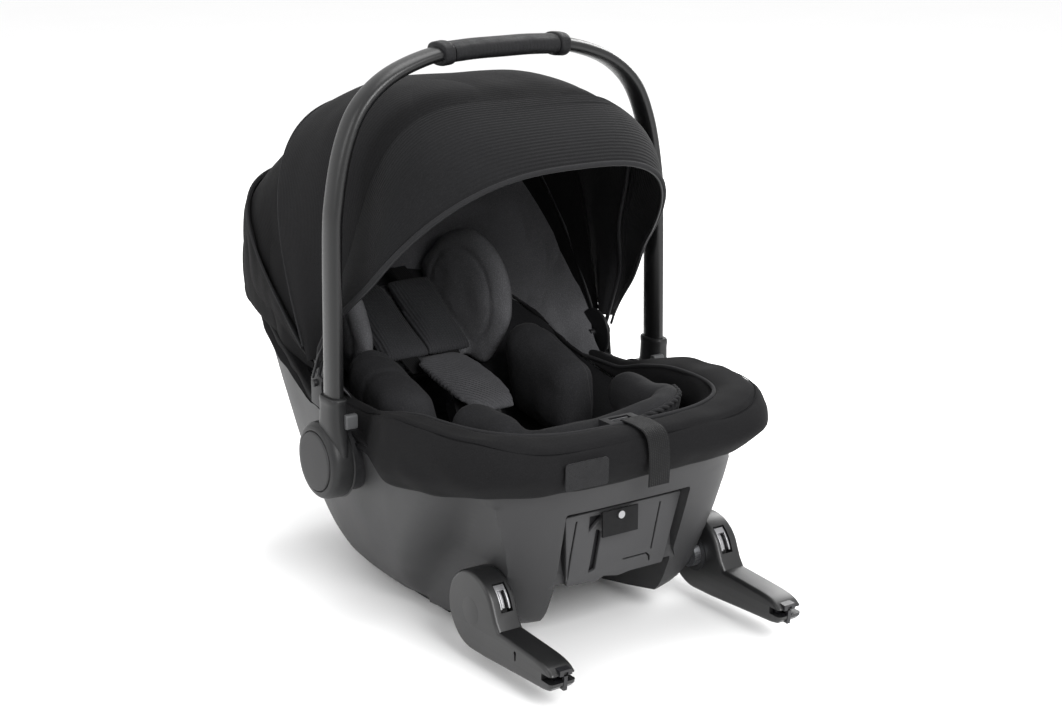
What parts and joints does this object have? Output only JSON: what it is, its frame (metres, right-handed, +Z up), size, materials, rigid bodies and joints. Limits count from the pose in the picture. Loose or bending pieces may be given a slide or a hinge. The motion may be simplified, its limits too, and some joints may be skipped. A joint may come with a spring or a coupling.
{
  "type": "infant car seat",
  "caption": "Rear-facing infant car seat: padded tub on a moulded shell, folding carry handle, folding canopy with visor, and swing-out anchor arms with latch jaws.",
  "frame": {"origin": "on the floor, in the middle of the flat belly plate that the seat stands on", "axes": "+X across the seat towards the child's left, -Y towards the foot end and the anchor arms, +Y towards the head end, +Z up"},
  "size_m": [0.4472, 0.7046, 0.6007],
  "materials": {
    "shell_grey": "fine moulded texture",
    "shell_dark": "fine moulded texture",
    "dark_plastic": "satin",
    "webbing": "woven webbing",
    "silver_metal": "satin",
    "foam": "beaded foam",
    "cover_fabric": "knitted",
    "insert_fabric": "soft knit",
    "ribbed_fabric": "ribbed knit",
    "canopy_fabric": "woven twill",
    "leatherette": "grained",
    "red_plastic": "gloss",
    "steel": "brushed",
    "black_steel": "semi-gloss",
    "handle_paint": "satin",
    "hub_plastic": "satin",
    "button_grey": "satin",
    "arm_plastic": "satin"
  },
  "bodies": {
    "shell": {"seat_shell": "shell_grey", "front_panel": "shell_dark", "panel_tab": "webbing", "tab_rivet": "silver_metal", "belly_plate": "dark_plastic", "floor_rails": "dark_plastic", "foam_liner": "foam", "seat_cover": "cover_fabric", "rim_cover": "cover_fabric", "seat_cushion": "cover_fabric", "side_bolsters": "insert_fabric", "thigh_pad": "insert_fabric", "shoulder_strap_left": "webbing", "shoulder_strap_right": "webbing", "shoulder_pad_left": "ribbed_fabric", "shoulder_pad_right": "ribbed_fabric", "crotch_strap": "webbing", "crotch_pad": "ribbed_fabric", "buckle_body": "dark_plastic", "adjuster_housing": "dark_plastic", "adjuster_strap": "webbing", "trim_patch": "leatherette", "pivot_bracket_left": "dark_plastic", "pivot_bracket_right": "dark_plastic", "pivot_bolt_left": "steel", "pivot_bolt_right": "steel", "canopy_pins": "dark_plastic", "canopy_bow_rear": "dark_plastic", "canopy_rear_panel": "canopy_fabric", "canopy_skirt": "canopy_fabric", "arm_bearings": "dark_plastic", "casing_screws": "steel", "belly_screws": "steel"},
    "carry_handle": {"handle_tube": "handle_paint", "handle_grip": "leatherette", "grip_collars": "leatherette", "handle_hub_left": "hub_plastic", "handle_hub_right": "hub_plastic", "hub_cap_left": "hub_plastic", "hub_cap_right": "hub_plastic"},
    "left_handle_button": {"handle_button_left": "button_grey"},
    "right_handle_button": {"handle_button_right": "button_grey"},
    "main_bow": {"canopy_bow_main": "dark_plastic", "canopy_main_panel": "canopy_fabric"},
    "visor": {"canopy_bow_visor": "dark_plastic", "canopy_visor_panel": "canopy_fabric"},
    "left_arm": {"arm_casing_left": "arm_plastic", "arm_frame_left": "black_steel", "arm_shaft_left": "steel"},
    "right_arm": {"arm_casing_right": "arm_plastic", "arm_frame_right": "black_steel", "arm_shaft_right": "steel"},
    "left_hook": {"latch_hook_left": "steel"},
    "right_hook": {"latch_hook_right": "steel"},
    "left_lever": {"release_lever_left": "silver_metal"},
    "right_lever": {"release_lever_right": "silver_metal"},
    "headrest": {"headrest_frame": "dark_plastic", "headrest_cushion": "insert_fabric"},
    "buckle_press": {"buckle_button": "red_plastic"},
    "harness_cam": {"adjuster_lever": "silver_metal"}
  },
  "joints": [
    {"name": "handle_fold", "type": "hinge", "parent": "shell", "child": "carry_handle", "pos_m": [0, -0.015, 0.173], "axis": [1, 0, 0], "range_deg": [-110, 0]},
    {"name": "left_handle_press", "type": "slide", "parent": "carry_handle", "child": "left_handle_button", "axis": [-1, 0, 0], "range_m": [0, 0.004], "stiffness_N_per_m": 900},
    {"name": "right_handle_press", "type": "slide", "parent": "carry_handle", "child": "right_handle_button", "axis": [1, 0, 0], "range_m": [0, 0.004], "stiffness_N_per_m": 900},
    {"name": "canopy_fold", "type": "hinge", "parent": "shell", "child": "main_bow", "pos_m": [0, 0.038, 0.24], "axis": [1, 0, 0], "range_deg": [-40, 0]},
    {"name": "visor_fold", "type": "hinge", "parent": "main_bow", "child": "visor", "pos_m": [0, 0.038, 0.24], "axis": [1, 0, 0], "range_deg": [-8, 0]},
    {"name": "left_arm_swing", "type": "hinge", "parent": "shell", "child": "left_arm", "pos_m": [-0.14, -0.212, 0.059], "axis": [1, 0, 0], "range_deg": [0, 145]},
    {"name": "right_arm_swing", "type": "hinge", "parent": "shell", "child": "right_arm", "pos_m": [0.14, -0.212, 0.059], "axis": [1, 0, 0], "range_deg": [0, 145]},
    {"name": "left_release", "type": "hinge", "parent": "left_arm", "child": "left_lever", "pos_m": [-0.14, -0.249, 0.0545], "axis": [1, 0, 0], "range_deg": [0, 14], "stiffness_Nm_per_rad": 0.4},
    {"name": "right_release", "type": "hinge", "parent": "right_arm", "child": "right_lever", "pos_m": [0.14, -0.249, 0.0545], "axis": [1, 0, 0], "range_deg": [0, 14], "stiffness_Nm_per_rad": 0.4},
    {"name": "left_latch", "type": "hinge", "parent": "left_arm", "child": "left_hook", "pos_m": [-0.14, -0.316, 0.029], "axis": [1, 0, 0], "range_deg": [0, 28]},
    {"name": "right_latch", "type": "hinge", "parent": "right_arm", "child": "right_hook", "pos_m": [0.14, -0.316, 0.029], "axis": [1, 0, 0], "range_deg": [0, 28]},
    {"name": "headrest_slide", "type": "slide", "parent": "shell", "child": "headrest", "axis": [0, 0.829, 0.5592], "range_m": [0, 0.03]},
    {"name": "buckle_release", "type": "slide", "parent": "shell", "child": "buckle_press", "axis": [0, 0.866, -0.5], "range_m": [0, 0.003], "stiffness_N_per_m": 1500},
    {"name": "harness_release", "type": "hinge", "parent": "shell", "child": "harness_cam", "pos_m": [0, -0.244, 0.239], "axis": [1, 0, 0], "range_deg": [-14, 0], "stiffness_Nm_per_rad": 0.3}
  ],
  "couplings": [
    {"joint": "left_latch", "follows": "left_release", "ratio": 2},
    {"joint": "right_latch", "follows": "right_release", "ratio": 2}
  ]
}
